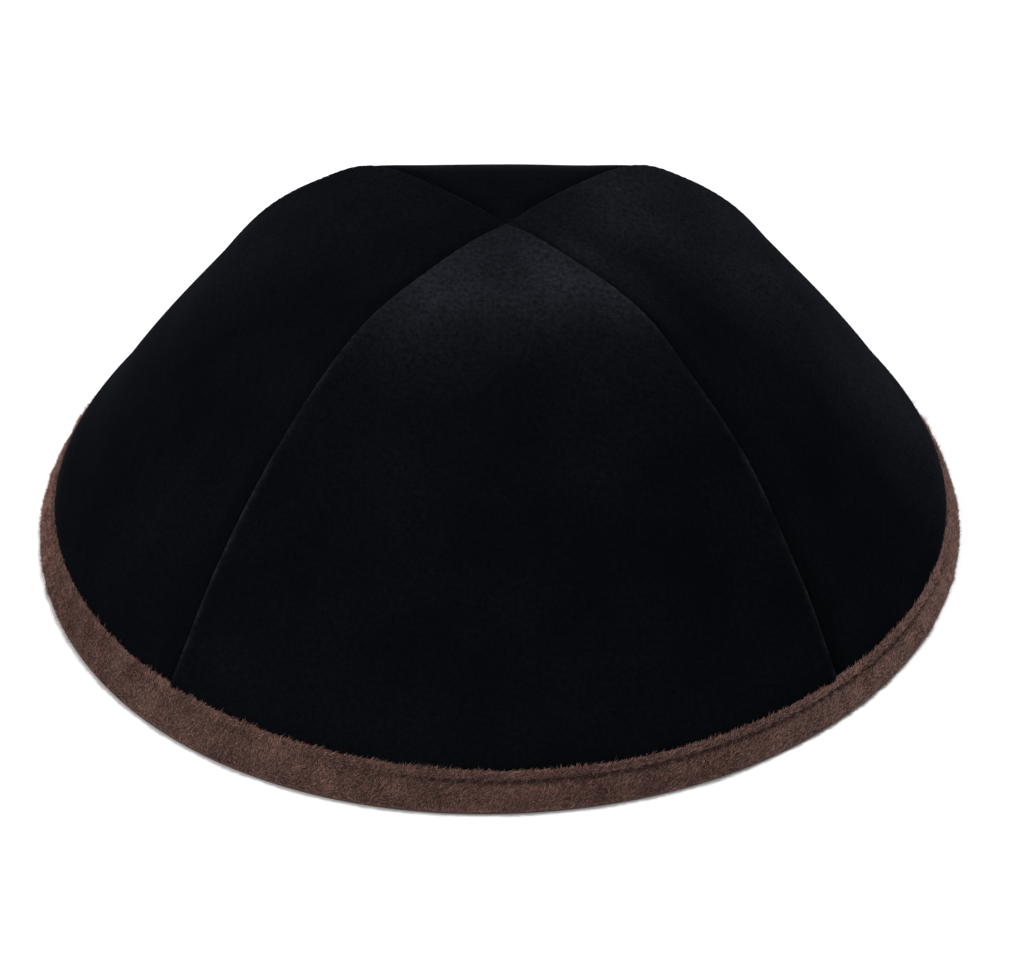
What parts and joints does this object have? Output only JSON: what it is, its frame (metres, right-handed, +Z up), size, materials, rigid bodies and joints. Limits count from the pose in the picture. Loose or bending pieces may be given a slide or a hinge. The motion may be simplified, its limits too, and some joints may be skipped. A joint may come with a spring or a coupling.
{
  "type": "kippah skullcap",
  "caption": "Shallow dome-shaped skullcap sewn from velvet gores that meet in a cross at the crown, with a folded velour binding tape round its rim.",
  "frame": {"origin": "middle of the rim, on the plane that the cap rests on", "axes": "+Z up through the crown, -Y to the front panel, seams down the diagonals between X and Y"},
  "size_m": [0.1718, 0.1798, 0.0663],
  "materials": {
    "velvet": "short cut pile, blue-black",
    "binding_velour": "brushed dark brown velour tape"
  },
  "bodies": {
    "root": {"panel_front": "velvet", "panel_right": "velvet", "panel_back": "velvet", "panel_left": "velvet", "rim_binding": "binding_velour"}
  },
  "joints": []
}
